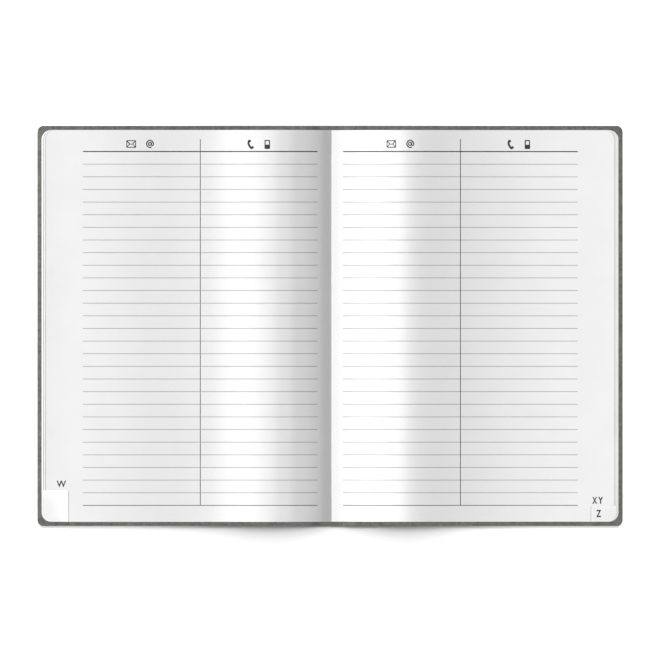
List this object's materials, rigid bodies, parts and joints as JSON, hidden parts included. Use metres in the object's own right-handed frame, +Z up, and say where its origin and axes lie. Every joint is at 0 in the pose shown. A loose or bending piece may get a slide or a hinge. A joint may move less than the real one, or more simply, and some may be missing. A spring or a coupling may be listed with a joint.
{
  "type": "address book",
  "caption": "Hard-cover address book lying open flat at its last index pages, with a stepped thumb index cut into the fore edge and two hinged covers.",
  "frame": {"origin": "on the floor, under the middle of the open book: midway across the spine and midway along it", "axes": "+X across the spread towards the back cover's fore edge, +Y towards the head of the pages, +Z up out of the open pages"},
  "size_m": [0.3134, 0.2144, 0.0104],
  "materials": {
    "cover_cloth": "fine matt grain, dark olive grey",
    "paper": "uncoated white writing paper with grey print",
    "board": "grey board, hidden inside the covering",
    "lining": "open-weave lining cloth"
  },
  "bodies": {
    "front_cover": {"front_board": "board", "front_cloth": "cover_cloth", "front_endpaper": "paper", "pages": "paper"},
    "spine": {"spine_board": "board", "spine_cloth": "cover_cloth", "spine_lining": "lining"},
    "back_cover": {"back_board": "board", "back_cloth": "cover_cloth", "back_endpaper": "paper"}
  },
  "joints": [
    {"name": "front_hinge", "type": "hinge", "parent": "front_cover", "child": "spine", "pos_m": [-0.00668, 0, 0.00017], "axis": [0, -1, 0], "range_deg": [0, 90], "deforming": ["pages"]},
    {"name": "back_hinge", "type": "hinge", "parent": "spine", "child": "back_cover", "pos_m": [0.00668, 0, 0.00017], "axis": [0, -1, 0], "range_deg": [0, 90], "deforming": ["pages"]}
  ]
}
